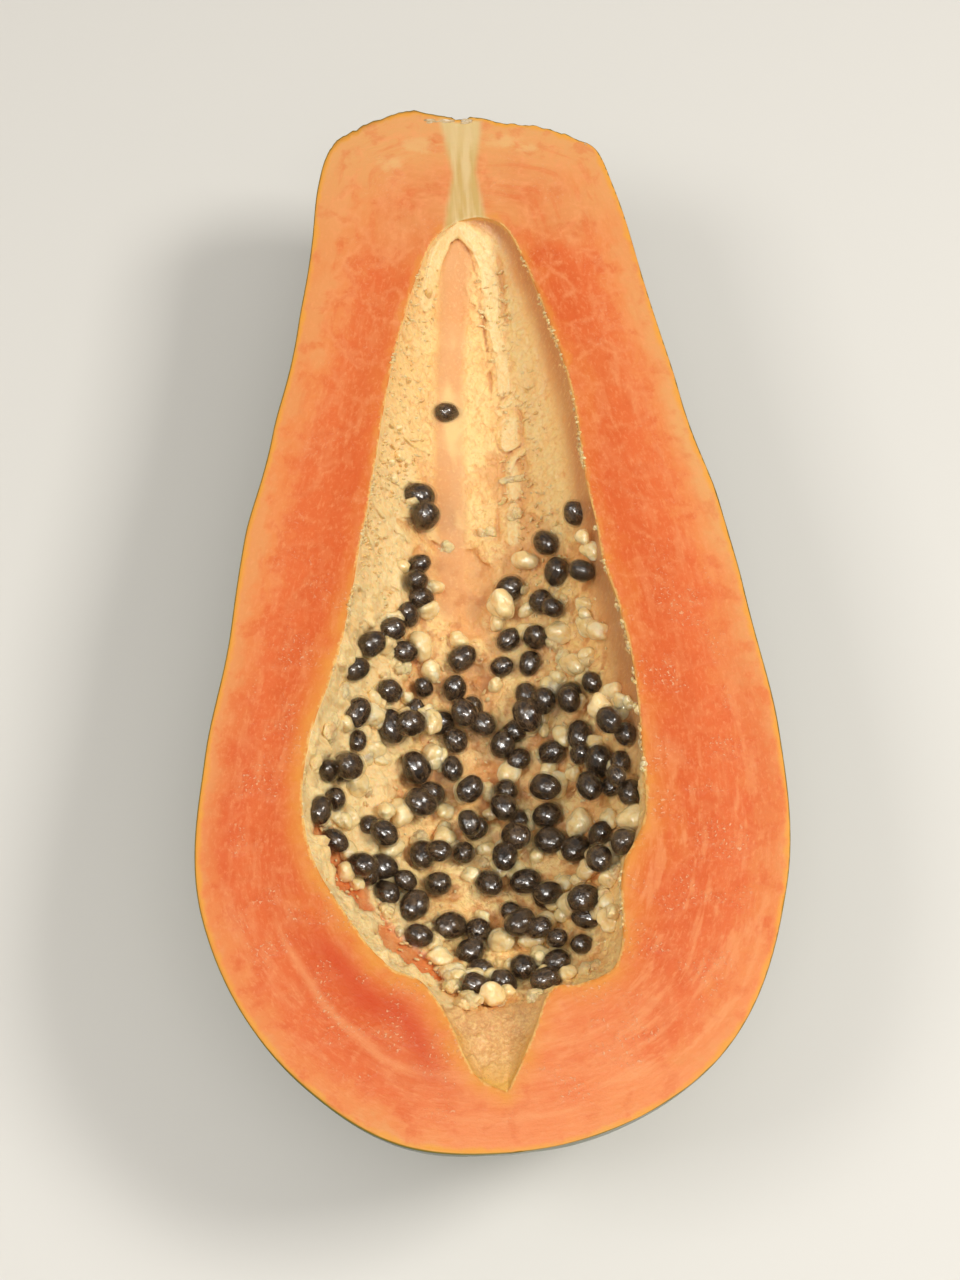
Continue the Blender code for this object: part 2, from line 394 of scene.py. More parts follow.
def fleshPaint():
    softness = (0.15, (0.9, 0.4, 0.18), 0.003)
    paint = Paint("papayaFlesh", fleshLook, softness, Specular_IOR_Level=0.15)
    place = paint.place()
    across = paint.apart(place, "X")
    along = paint.apart(place, "Y")
    skinGap = paint.attribute("skinGap")
    hollowGap = paint.attribute("hollowGap")
    clouds = paint.noise(place, 0.022, detail=4.0)
    mottle = paint.noise(paint.shifted(place, 0.01, 5.0), 0.006, detail=4.0, roughness=0.6)
    fine = paint.noise(place, 0.0008, roughness=0.65)
    # a second set of coordinates whose fibres run beside the skin
    axes = {0: skinGap * mm, 1: along * 0.22, 2: across * 0.12}
    flow = paint.node("ShaderNodeCombineXYZ", None, axes)
    streaks = paint.noise(paint.shifted(flow, 0.008, 3.0), 0.0026)
    fibres = paint.noise(paint.stretch(flow, 1.0, 2.2, 2.2), 0.00075, detail=2.5)
    stemward = along.step(0.01, 0.1)
    blossom = along.fade(-0.1, -0.01)
    right = across.step(-0.004, 0.012)
    left = 1 - right
    share = skinGap / (skinGap + hollowGap + 0.01)
    share = share + (clouds - 0.5) * 0.5 + (mottle - 0.5) * 0.6
    share = share - stemward * left * 0.12 + blossom * 0.1
    stops = ((0.04, "pale"), (0.2, "peach"), (0.42, "salmon"), (0.74, "deep"), (0.95, "inner"))
    paint.ramp(share, *stops, interpolation="EASE")
    paint.lay("peach", stemward * clouds.step(0.4, 0.58) * 0.45)
    paint.lay("honey", (along + (clouds - 0.5) * 0.06).step(0.08, 0.125) * 0.75)
    besideSkin = (skinGap + (clouds - 0.5) * 12).fade(1.5, 8.0) * right * along.hump(0.03, 0.07)
    paint.lay("honey", besideSkin * 0.7)
    blossomEnd = along.fade(-0.112, -0.08) * across.step(-0.03, -0.006)
    paint.lay("blush", blossomEnd * clouds.step(0.3, 0.5) * 0.8)
    # redder bands inside the skin, lower down on both sides
    low = along.hump(-0.045, 0.05)
    redBand = (skinGap + (clouds - 0.5) * 8).hump(6.0, 7.0) * low * (left * 0.45 + right * 0.4)
    paint.lay("red", redBand)
    # a net of soft pale lines towards the stem, pale streaks beside the skin lower down
    net = paint.cells(paint.shifted(place, 0.009, 6.0), 0.0075, feature="DISTANCE_TO_EDGE")
    net = net.fade(0.0, 0.16) * mottle.step(0.42, 0.56) * skinGap.step(2.0, 7.0)
    net = net * (0.2 + stemward * 0.25)
    paleStreaks = streaks.step(0.5, 0.66) * skinGap.step(1.0, 4.0) * (0.22 + blossom * right * 0.25)
    darkStreaks = streaks.fade(0.34, 0.48) * skinGap.step(2.0, 6.0) * 0.35
    paint.lay("salmon", darkStreaks)
    paint.lay("vein", net + paleStreaks)
    paint.lay("deep", mottle.step(0.52, 0.66) * 0.3)
    paint.lay("vein", fibres.step(0.52, 0.72) * 0.3)
    paint.lay("vein", fine.step(0.52, 0.75) * 0.25)
    # one long pale line and a red blot, low on the left
    lowOnLeft = along.fade(-0.088, -0.074) * left
    longLine = (skinGap + (clouds - 0.5) * 5).hump(15.5, 1.8)
    paint.lay("vein", longLine * lowOnLeft * 0.5)
    blot = (hollowGap + (clouds - 0.5) * 6).hump(8.0, 6.0) * lowOnLeft * along.step(-0.12, -0.104)
    paint.lay("red", blot * across.fade(-0.012, -0.003) * 0.8)
    # yellow along the hollow, widest low on the left, with a thin broken lip
    lowLeft = left * along.fade(-0.02, 0.01)
    lowRight = right * along.fade(-0.06, -0.02)
    rimGap = hollowGap + (mottle - 0.5) * 8
    wide = rimGap.fade(0.0, 5.5) * (lowLeft * 0.6 + lowRight * 0.45)
    paint.lay("yellow", wide)
    paint.lay("yellow", rimGap.fade(0.0, 1.8) * 0.5)
    lip = (hollowGap + (fine - 0.5) * 1.6).fade(0.1, 0.6) * mottle.step(0.42, 0.52)
    paint.lay("lip", lip * 0.8)
    # pale smears and the core at the stem
    for aside, ahead, width, length in fleshLook["smears"]:
        away = paint.vectors("SUBTRACT", place, (aside * mm, ahead * mm, 0))
        away = paint.stretch(away, 1 / (width * mm), 1 / (length * mm), 0.0)
        gap = paint.vectors("LENGTH", away, output="Value")
        paint.lay("smear", (gap + (mottle - 0.5) * 2.4).fade(0.2, 1.1) * 0.6)
    coreAway = ((across - 0.0022) * 1000 + (clouds - 0.5) * 1.5).absolute()
    coreAway = coreAway - (along - 0.11).absolute() * 150
    core = coreAway.fade(1.8, 4.0) * along.step(0.088, 0.093)
    strands = paint.noise(paint.stretch(place, 1.0, 0.1, 1.0), 0.0018, detail=2.0)
    coreColour = paint.mix(strands.step(0.38, 0.66), "coreDark", "core")
    coreColour = paint.mix(along.step(0.112, 0.122) * 0.7, coreColour, "core")
    paint.lay(coreColour, core * 0.9)
    # golden band and green line under the skin
    paint.lay("golden", (skinGap + (mottle - 0.5) * 3).fade(0.3, 1.7) * 0.85)
    paint.lay("olive", skinGap.fade(0.1, 0.35))
    # wet glints painted as painted highlights: tiny pale curls in clusters, most of them lower
    # down, with real gloss and bump there too
    clusters = paint.noise(place, 0.01).step(0.5, 0.6) * skinGap.step(5.0, 10.0)
    clusters = clusters * (0.25 + along.fade(-0.03, 0.03) * 0.75)
    curls = paint.noise(paint.shifted(place, 0.0012, 0.8), 0.0007, detail=1.5)
    wet = curls.step(0.6, 0.68) * clusters * (1 - core)
    paint.lay("wet", wet * 0.65)
    roughness = 0.45 - wet * 0.3 + (mottle - 0.5) * 0.2
    relief = fine * 0.5 + mottle * 0.8 + fibres * 0.5 + wet * 1.2 + clusters * curls
    return paint.finish(roughness, relief, 0.0004, 0.5, coat=wet * 0.8 + clusters * 0.05)


rindLook = {
    "deep": linear(38, 50, 20),
    "green": linear(62, 76, 28),
    "light": linear(104, 112, 44),
    "yellow": linear(170, 148, 52),
    "bloom": linear(128, 132, 96),
    "spot": linear(60, 48, 24),
}


def rindPaint():
    paint = Paint("papayaRind", rindLook, IOR=1.42)
    place = paint.place()
    depth = paint.attribute("rindDepth")
    clouds = paint.noise(place, 0.035, detail=4.0)
    mottle = paint.noise(place, 0.006, detail=4.0, roughness=0.6)
    stops = ((0.3, "deep"), (0.5, "green"), (0.68, "light"))
    paint.ramp(clouds * 0.7 + mottle * 0.3, *stops, interpolation="EASE")
    blush = paint.noise(paint.stretch(place, 1.0, 0.35, 1.0), 0.05).step(0.54, 0.72)
    paint.lay("yellow", blush * 0.55)
    specks = paint.cells(place, 0.0035).fade(0.1, 0.3)
    paint.lay("light", specks * 0.28)
    scars = paint.cells(paint.shifted(place, 0.01, 6.0), 0.02).fade(0.03, 0.09)
    paint.lay("spot", scars * 0.7)
    bloom = paint.noise(place, 0.018, detail=5.0, roughness=0.65).step(0.5, 0.75)
    paint.lay("bloom", bloom * 0.4)
    paint.lay("yellow", depth.fade(0.2, 1.4) * 0.35)
    roughness = 0.3 + bloom * 0.22 + mottle * 0.12
    relief = mottle + specks * 0.4 - scars
    return paint.finish(roughness, relief, 0.0003, 0.4, coat=0.25 - bloom * 0.15)


pulpLook = {
    "cream": linear(255, 219, 149),
    "grain": linear(253, 205, 132),
    "smooth": linear(229, 170, 109),
    # painted shade: the darker colour of the low places in the relief
    "pit": linear(228, 158, 90),
    # painted shade in cracks and in the grooves round the pale bars
    "crack": linear(183, 112, 57),
    "edge": linear(229, 174, 84),
    # the plain right wall's brown, partly its own wet colour and partly painted shade
    "wall": linear(198, 133, 86),
    # the pale cream of the bars and lumps, also laid as painted light on the lining's walls
    "bright": linear(255, 230, 172),
    "brightShade": linear(255, 214, 146),
    # painted shade: the deep orange-brown of the low places between the seeds
    "amber": linear(198, 118, 49),
    "wet": linear(222, 116, 58),
    "wetPale": linear(242, 166, 102),
}


def pulpPaint():
    softness = (0.25, (0.9, 0.5, 0.2), 0.0025)
    paint = Paint("papayaPulp", pulpLook, softness, Specular_IOR_Level=0.4)
    place = paint.place()
    names = ("pulpGrain", "pulpHeight", "pulpWarm", "pulpBright", "pulpWet", "rindDepth")
    grainy, height, warm, bright, wet, depth = map(paint.attribute, names)
    clouds = paint.noise(place, 0.009)
    flatter = paint.stretch(place, 1.0, 0.9, 0.3)  # longer down the steep walls
    crumbs = paint.cells(paint.shifted(flatter, 0.0018, 2.0), 0.0013)
    curls = paint.noise(paint.shifted(flatter, 0.003, 2.0), 0.0015, detail=2.5, distortion=1.2)
    fine = paint.noise(flatter, 0.0007, detail=4.0, roughness=0.7)
    grain = paint.mix(clouds.step(0.35, 0.65), "grain", "cream")
    paint.colour = paint.mix(grainy, "smooth", grain)
    # painted shade: darker where the relief sinks below the wall
    paint.lay("pit", (height * -1).step(0.05, 0.6) * 0.5)
    paint.lay("cream", height.step(0.2, 1.1) * 0.7)
    # the plain right wall's brown, partly its own colour and partly painted shade; the notch and
    # the cut edge get some too
    paint.lay("wall", warm * 0.8)
    # painted shade between the crumbs and in the dips of the curls
    paint.lay("pit", crumbs.step(0.5, 0.85) * grainy * 0.4)
    paint.lay("pit", curls.fade(0.3, 0.42) * (grainy * 0.5 + 0.1))
    paint.lay("cream", fine.step(0.5, 0.75) * 0.4)
    along = paint.apart(place, "Y")
    # painted shade: amber patches scattered by noise deep in the lower hollow, where the seeds lie
    amber = paint.noise(place, 0.005).fade(0.36, 0.5) * along.fade(0.0, 0.03)
    paint.lay("amber", amber * depth.step(8.0, 16.0) * 0.6)
    patches = curls.step(0.4, 0.6) * 0.6 + fine.step(0.4, 0.6) * 0.4
    # pale bars and ridges, and painted light on the left wall and the upper right
    paint.lay(paint.mix(patches, "brightShade", "bright"), bright.step(0.2, 0.8) * 0.9)
    # painted shade in the cracks and in the grooves round the pale bars
    paint.lay("crack", (bright * -1).step(0.2, 0.8) * 0.75)
    notch = along.fade(-0.1, -0.095)
    edge = (depth + (fine - 0.5) * 1.5).fade(0.4, 1.5)
    edge = edge + (depth + (clouds - 0.5) * 6).fade(0.5, 6.0) * notch
    paint.lay("edge", edge * (1 - bright.step(0.1, 0.5)) * 0.7)
    blush = clouds.step(0.42, 0.6) * 0.3 + fine.step(0.42, 0.6) * 0.4
    paint.lay("cream", notch * blush * depth.step(1.0, 5.0))
    wetShare = clouds.step(0.38, 0.62) * 0.6 + curls.step(0.5, 0.66) * 0.4
    paint.lay(paint.mix(wetShare, "wet", "wetPale"), wet * 0.92)
    roughness = 0.62 - fine * 0.2 - warm * 0.2 - wet * 0.35
    relief = fine * 0.7 + (1 - crumbs) * grainy * 1.1 + curls * (grainy + 0.2)
    relief = relief * (1 - wet * 0.6)
    return paint.finish(roughness, relief, 0.0006, 0.7, coat=warm * 0.15 + wet * 0.5)


def loosePaint(name):
    softness = (0.3, (0.9, 0.5, 0.2), 0.002)
    paint = Paint(name, pulpLook, softness, Specular_IOR_Level=0.4)
    place = paint.place()
    fine = paint.noise(place, 0.0008, detail=4.0, roughness=0.7)
    patches = paint.noise(place, 0.004, detail=2.0)
    paint.colour = paint.mix(paint.attribute("tint"), "grain", "bright")
    paint.lay("smooth", patches.step(0.52, 0.68) * 0.5)
    # painted shade in the low places of the fine relief
    paint.lay("pit", fine.fade(0.28, 0.5) * 0.5)
    return paint.finish(0.5 - fine * 0.3, fine, 0.0007, 0.9, coat=0.25 - fine * 0.2)


seedLook = {
    "black": linear(12, 9, 8),
    "brown": linear(57, 40, 28),
    "grey": linear(100, 80, 58),
    "film": linear(84, 64, 46),
    "filmPale": linear(142, 118, 88),
}


def seedPaint():
    gloss = {"Coat_Weight": 0.9, "Coat_Roughness": 0.04, "Coat_IOR": 1.45}
    paint = Paint("papayaSeed", seedLook, IOR=1.45, **gloss)
    local = paint.attribute("localPlace", output="Vector")
    tint = paint.attribute("tint")
    ribs = paint.noise(paint.stretch(local, 0.8, 3.4, 3.4), 1.0, roughness=0.6, distortion=0.8)
    pits = paint.cells(paint.shifted(local, 0.7, 300.0), 0.3)
    shade = ribs * 0.75 + pits * 0.35
    paint.ramp(shade, (0.42, "black"), (0.57, "brown"), (0.72, "grey"))
    paint.lay("black", 0.6 - tint * 0.6)
    return paint.finish(0.04 + ribs * 0.07, shade, 0.0006, 0.45)


def gelPaint():
    paint = Paint("seedGel", seedLook, IOR=1.36, Coat_Weight=0.8, Coat_Roughness=0.02)
    local = paint.attribute("localPlace", output="Vector")
    cloudy = paint.noise(local, 0.6)
    paint.colour = paint.mix(cloudy, "film", "filmPale")
    paint.feed("Alpha", cloudy.step(0.35, 0.7) * 0.26 + 0.06)
    return paint.finish(0.03 + cloudy * 0.05, cloudy, 0.0003, 0.25)


paleLook = {
    "cream": linear(255, 222, 160),
    "green": linear(240, 206, 142),
    "milk": linear(255, 240, 200),
}


def palePaint():
    paint = Paint("palePulpSeed", paleLook, (0.5, (0.8, 0.6, 0.35), 0.0025))
    place = paint.place()
    local = paint.attribute("localPlace", output="Vector")
    clouds = paint.noise(local, 1.0)
    fine = paint.noise(place, 0.0011)
    paint.ramp(clouds, (0.3, "green"), (0.5, "cream"), (0.7, "milk"))
    paint.lay("green", paint.attribute("tint") * 0.5)
    paint.lay("milk", fine.step(0.45, 0.7) * 0.3)
    return paint.finish(0.12 + fine * 0.2, fine + clouds * 0.5, 0.0005, 0.7, coat=clouds * 0.3)


scrapLook = {
    "brown": linear(136, 104, 64),
    "straw": linear(196, 168, 122),
    "ashen": linear(226, 214, 190),
}


def scrapPaint():
    paint = Paint("driedStem", scrapLook)
    place = paint.place()
    clouds = paint.noise(place, 0.003, detail=4.0)
    fibres = paint.noise(paint.stretch(place, 1.0, 3.0, 3.0), 0.0014)
    paint.ramp(clouds * 0.6 + fibres * 0.4, (0.34, "brown"), (0.48, "straw"), (0.64, "ashen"))
    return paint.finish(0.6 + fibres * 0.25, fibres, 0.0004, 0.6)


def storeMesh(bm, name):
    data = bpy.data.meshes.new(name)
    bm.to_mesh(data)
    bm.free()
    places = np.empty(len(data.vertices) * 3)
    data.vertices.foreach_get("co", places)
    return data, places.reshape(-1, 3)


def movePoints(data, points, values):
    # points in mm, and the values that the materials read at each of them
    data.vertices.foreach_set("co", (points * mm).ravel())
    for name, value in values.items():
        kind = ("FLOAT_VECTOR", "vector") if value.ndim == 2 else ("FLOAT", "value")
        layer = data.attributes.new(name, kind[0], "POINT")
        layer.data.foreach_set(kind[1], value.ravel())
    data.update()


def addPiece(data, materials):
    for material in materials:
        data.materials.append(material)
    data.shade_smooth()
    piece = bpy.data.objects.new(data.name, data)
    scene.collection.objects.link(piece)
    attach(piece, "root")
    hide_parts("papaya_half")
    triangles = sum(len(face.vertices) - 2 for face in data.polygons)
    print(f"{data.name}: {triangles} triangles")


# Relief of the hollow. Each ridge or crack has a path of places along the fruit and round it,
# a height, a width and how pale it is, which is below 0 for a crack with painted shade in it.
pulp = {
    "ridges": (
        (((79, 139), (85, 141), (89, 144), (92, 142), (93.7, 125), (94.3, 90), (93.7, 55), (92, 46),
                  (89, 47), (84, 52), (78, 57)),
         1.2, 2.4, 1.0),
        (((79, 57), (74, 58), (69, 58)), 0.6, 1.7, 0.8),
        (((66, 59), (62, 60), (58.5, 61)), 0.9, 1.7, 1.0),
        (((56, 57), (55, 62), (53, 67)), 0.8, 1.0, 0.9),
        (((50, 61), (45, 63.5)), 1.1, 2.3, 1.0),
        (((42, 56), (41, 62), (39, 66)), 1.0, 1.1, 1.0),
        (((38, 65), (32, 66)), 1.0, 1.9, 1.0),
        (((28.5, 67), (21, 69)), 0.8, 1.8, 0.7),
        (((91.8, 112), (92.4, 90), (91, 72), (86, 66), (78, 69), (68, 69)), -1.0, 0.55, -0.8),
        (((68, 69), (60, 71), (52, 74), (44, 72), (34, 76), (22, 77)), -0.9, 0.7, -0.5),
        (((88, 40), (80, 44), (70, 48), (56, 53), (44, 54), (30, 58)), -0.6, 0.8, -0.2),
        (((28, 134), (27, 122), (24, 112), (20, 104)), 0.9, 1.3, 0.4),
        (((24, 136), (23, 122), (20, 110)), -0.8, 0.8, -0.5),
        (((17, 88), (0, 92), (-20, 90), (-40, 88), (-60, 88)), -1.6, 3.2, 0.0),
        (((46, 160), (46, 140), (43, 116)), 0.7, 0.6, 0.0),
        (((74, 100), (60, 104), (40, 100), (26, 98)), 0.5, 1.4, 0.2),
    ),
    "smoothBand": ((92, 99), (70, 103), (40, 103), (6, 101)),
    "smoothWidth": 3.5,
    "barPaleness": 0.6,  # a paler ridge is a flat bar with painted shade in the groove round it
    # wet orange patches where the pulp has come off: a path and a width
    "wet": (
        (((-57, 160), (-67, 151)), 6.4),
        (((-79, 143), (-86, 124)), 4.8),
        (((-72.4, 139.6), (-73.4, 138.6)), 1.0),
    ),
    "grainHeight": 0.5,
    "grainSize": 1.5,
    "lumpHeight": 0.9,
    "lumpSize": 3.6,
    "smallLumpSize": 2.2,
    "lowLumpHeight": 1.5,
    "swellHeight": 0.9,
    "swellSize": 12.0,
    "wetDepth": 0.7,
    "wetRim": 3.0,
    "flattened": (1.0, 0.9, 0.3),  # makes the grain longer down the steep walls
}


def hollowRelief(points, roll):
    along = points[:, 1]
    depth = fruit["cutHeight"] - points[:, 2]
    # zones: the plain right wall, browner in part as painted shade, the lumpy lower left, the upper
    # right, painted paler as painted light, and the notch
    wallSide = (1 - softStep(roll, 12, 36)) * softStep(along, -50, -25)
    leftLow = softStep(roll, 114, 132) * softStep(-along, -60, -20)
    rightHigh = (1 - softStep(roll, 44, 66)) * softStep(along, 4, 24) * (1 - wallSide)
    notch = softStep(-along, 94, 99)
    smoothGap = nearest(points, pathPoints(pulp["smoothBand"]))
    grainy = softStep(smoothGap, pulp["smoothWidth"] * 0.6, pulp["smoothWidth"] * 1.5)
    grainy = np.maximum(grainy, softStep(-along, 0, 20)) * (1 - 0.9 * wallSide)
    grainy = grainy * (1 - 0.4 * notch) * (1 - 0.25 * leftLow)
    flatter = points * pulp["flattened"]
    grain = cloudAt(flatter, pulp["grainSize"] * 0.8, 2, 2) * 0.7
    grain = grain + cloudAt(flatter, pulp["grainSize"], 2, 1) * 0.6
    lumps = np.maximum(cloudAt(flatter, pulp["lumpSize"], 2, 3), 0)
    smallLumps = np.maximum(cloudAt(flatter, pulp["smallLumpSize"], 2, 5), 0)
    height = (grain * pulp["grainHeight"] + lumps * pulp["lumpHeight"]) * (0.15 + 0.85 * grainy)
    height = height + (lumps + smallLumps) * leftLow * pulp["lowLumpHeight"]
    swell = cloudAt(points, pulp["swellSize"], 2, 4) * pulp["swellHeight"]
    height = height + swell * (1 - 0.7 * notch)
    # painted light: the left wall, most of all low down, and the upper right are painted paler;
    # ridges then add their own real paleness
    bright = (0.45 + 0.5 * leftLow) * softStep(roll, 112, 138) * (1 - notch) + 0.5 * rightHigh
    ridges, bright = ridgeRelief(points, roll, depth, bright)
    wet = np.zeros(len(points))
    for path, width in pulp["wet"]:
        gap = nearest(points, pathPoints(path)) / width + 0.3 * cloudAt(points, 4.0, 2, 50)
        wet = np.maximum(wet, 1 - softStep(gap, 0.8, 1.0))
    height = (height + ridges) * (1 - 0.8 * wet)
    height = height - pulp["wetDepth"] * wet + pulp["wetRim"] * wet * (1 - wet)
    height = height * np.clip(depth / 2.5, 0.12, 1.0)  # lower towards the cut edge
    # darker brown on the plain right wall, partly its own colour and partly painted shade, less in
    # the notch and along the cut edge
    warm = np.maximum(wallSide, 0.7 * notch)
    warm = np.maximum(warm, (1 - softStep(depth, 0.4, 2.5)) * 0.3) * (1 - np.abs(bright))
    grainy = grainy * (1 - 0.6 * softStep(np.abs(ridges), 0.3, 0.9))
    return height, grainy, warm, bright, wet


def ridgeRelief(points, roll, depth, bright):
    ridges = np.zeros(len(points))
    for number, (path, height, width, paleness) in enumerate(pulp["ridges"]):
        gap = nearest(points, pathPoints(path))
        uneven = 0.85 + 0.5 * cloudAt(points, 5.0, 2, 10 + number)
        near = np.exp(-((gap / width) ** 2))
        if paleness > pulp["barPaleness"]:
            near = 1 - softStep(gap, 0.6 * width, 1.15 * width)
            # the groove round a pale bar, whose paleness drops there as painted shade
            rim = np.exp(-(((gap - 1.35 * width) / 0.5) ** 2)) * softStep(depth, 1.0, 4.0)
            rim = rim * np.clip(0.75 + 1.2 * cloudAt(points, 4.0, 2, 80 + number), 0.1, 1)
            rim = rim * (1 - 0.7 * softStep(roll, 90, 130))
            bright = bright - 0.5 * rim
            ridges -= 0.35 * rim
        if height < 0:
            near = near * np.clip(0.8 + 1.4 * cloudAt(points, 6.0, 2, 60 + number), 0.1, 1)
        ridges += height * uneven * near
        bright = bright * (1 - near) + paleness * near
    return ridges, bright


# The cut face: the size and height of its unevenness, how far the crumbly edge at the hollow and
# the soft edge at the skin reach in, and how close points are joined, in metres.
cutFace = {
    "swell": (9.0, 0.15),
    "crumbs": (1.6, 0.7),
    "crumblyWidth": 0.8,
    "crumblyDrop": 0.1,
    "softWidth": 0.4,
    "softDrop": 0.2,
    "farGap": 30.0,  # what the materials read off the cut face
    "joined": 0.00002,
}


def papayaFlesh():
    columns = [fruit[name + "Columns"] for name in ("skin", "band", "hollow", "band")]
    total = sum(columns)
    bm = bmesh.new()
    bmesh.ops.create_grid(bm, x_segments=fruit["rows"], y_segments=total, size=0.5)
    data, places = storeMesh(bm, "papayaFlesh")
    share = np.clip(places[:, 0] + 0.5, 0, 1)
    column = np.round((places[:, 1] + 0.5) * total)
    # the grid goes round the section: skin, left of the cut face, hollow, right of the cut face
    first, second, third, last = np.cumsum(columns)
    onSkin = column <= first
    onHollow = (column >= second) & (column <= third)
    onLeft = (column > first) & (column < second)
    onRight = column > third
    cut = onLeft | onRight
    outerAngle = evenAngles(outerPoints, share)
    hollowAngle = evenAngles(hollowPoints, share)
    skinRoll = np.clip(column / first, 0, 1) * 180
    hollowRoll = 180 - np.clip((column - second) / columns[2], 0, 1) * 180
    inside = hollowAngle[onHollow], hollowRoll[onHollow]
    points = outerPoints(outerAngle, skinRoll)
    points[onHollow] = hollowPoints(*inside)
    for chosen, roll, across in (
        (onLeft, 180.0, (column - first) / columns[1]),
        (onRight, 0.0, (last - column) / columns[3]),
    ):
        t = across[chosen]
        t = (t + 2 * t * t * (3 - 2 * t)) / 3  # the columns stand closer at both edges
        rolls = np.full(len(t), roll)
        outer = outerPoints(outerAngle[chosen], rolls)
        points[chosen] = outer + (hollowPoints(hollowAngle[chosen], rolls) - outer) * t[:, None]
    skinGap = edgeGap(points, onSkin, cut, outerPoints)
    hollowGap = edgeGap(points, onHollow, cut, hollowPoints)
    wall = np.zeros((5, len(points)))
    wall[:, onHollow] = hollowRelief(points[onHollow], inside[1])
    height, grainy, warm, bright, wet = wall
    points[onHollow] = hollowPoints(*inside, height[onHollow])
    points[cut, 2] += cutRelief(points[cut], skinGap[cut], hollowGap[cut])
    points += tornStem(points)
    values = {
        "skinGap": skinGap,
        "hollowGap": hollowGap,
        "pulpGrain": grainy,
        "pulpHeight": height,
        "pulpWarm": warm,
        "pulpBright": bright,
        "pulpWet": wet,
        "rindDepth": fruit["cutHeight"] - points[:, 2],
    }
    movePoints(data, points, values)
    corners = np.array([(face.vertices[0], face.vertices[2]) for face in data.polygons])
    middle = column[corners].mean(axis=1)
    parts = np.where(middle < first, 1, np.where((middle > second) & (middle < third), 2, 0))
    data.polygons.foreach_set("material_index", parts.astype(np.int32))
    bm = bmesh.new()
    bm.from_mesh(data)
    bmesh.ops.remove_doubles(bm, verts=bm.verts, dist=cutFace["joined"])
    bmesh.ops.recalc_face_normals(bm, faces=bm.faces)
    bm.to_mesh(data)
    bm.free()
    addPiece(data, [fleshPaint(), rindPaint(), pulpPaint()])


def edgeGap(points, onSurface, cut, edgeAt):
    # how far each point of the cut face is from the edge of a surface, and 0 on the surface
    angles = np.linspace(0, 180, 900)
    edge = np.concatenate([edgeAt(angles, np.full(len(angles), roll)) for roll in (0.0, 180.0)])
    gap = np.where(onSurface, 0.0, cutFace["farGap"])
    gap[cut] = nearest(points[cut], edge)
    return gap


def cutRelief(flat, skinGap, hollowGap):
    # a little uneven, crumbly at the hollow, soft at the skin
    crumbSize, crumbHeight = cutFace["crumbs"]
    swellSize, swellHeight = cutFace["swell"]
    crumble = np.maximum(cloudAt(flat, crumbSize, 2, 21), -0.3) * crumbHeight
    crumble = crumble - cutFace["crumblyDrop"]
    rise = cloudAt(flat, swellSize, 3, 22) * swellHeight
    rise = rise - np.exp(-skinGap / cutFace["softWidth"]) * cutFace["softDrop"]
    return rise + np.exp(-hollowGap / cutFace["crumblyWidth"]) * crumble


# The broken edge at the stem end, a little in and out along the fruit.
torn = {
    "from": (108, 122),  # along the fruit
    "heights": (30, 56),
    "fine": (2.6, 0.7),  # size and height
    "coarse": (9.0, 0.5),
    "drop": 0.35,
}


def tornStem(points):
    near = softStep(points[:, 1], *torn["from"]) * softStep(points[:, 2], *torn["heights"])
    fine = cloudAt(points * (1.0, 0.3, 1.0), torn["fine"][0], 3, 31) * torn["fine"][1]
    broken = fine + cloudAt(points, torn["coarse"][0], 2, 32) * torn["coarse"][1]
    return np.outer(near * (broken - torn["drop"]), (0, 1, 0))


def ballPiece(name, balls, subdivisions, wobbles, material):
    # closed balls pulled to their half sizes, made uneven, turned and put in place
    bm = bmesh.new()
    bmesh.ops.create_icosphere(bm, subdivisions=subdivisions, radius=1.0)
    copied(name, bm, balls, ballPoints, wobbles, material)


def copied(name, bm, things, pointsOf, wobbles, material):
    template, unit = storeMesh(bm, "template")
    bm = bmesh.new()
    for _ in things:
        bm.from_mesh(template)
    data, _ = storeMesh(bm, name)
    bpy.data.meshes.remove(template)
    offsets = np.array([thing["offset"] for thing in things])
    local = unit[None] + offsets[:, None]
    grown = np.ones(local.shape[:2])
    for number, (size, height) in enumerate(wobbles):
        grown += cloudAt(local.reshape(-1, 3), size, 1, 40 + number).reshape(grown.shape) * height
    points = [pointsOf(unit, grown[number], thing) for number, thing in enumerate(things)]
    tints = np.repeat([thing["tint"] for thing in things], len(unit))
    values = {"localPlace": local.reshape(-1, 3), "tint": tints}
    movePoints(data, np.concatenate(points), values)
    addPiece(data, [material])


def ballPoints(unit, grown, ball):
    taper = 1 - ball.get("taper", 0.0) * unit[:, 0] * np.abs(unit[:, 0])
    shaped = unit * (grown * taper)[:, None] * np.array(ball["half"])
    return np.array(ball["centre"]) + shaped @ np.array(ball["turn"]).T


def ball(draw, centre, turn, half, **more):
    offset = [draw.uniform(-90, 90) for _ in range(3)]
    thing = {"centre": centre, "turn": turn, "half": half, "offset": offset, "tint": draw.random()}
    return {**thing, **more}


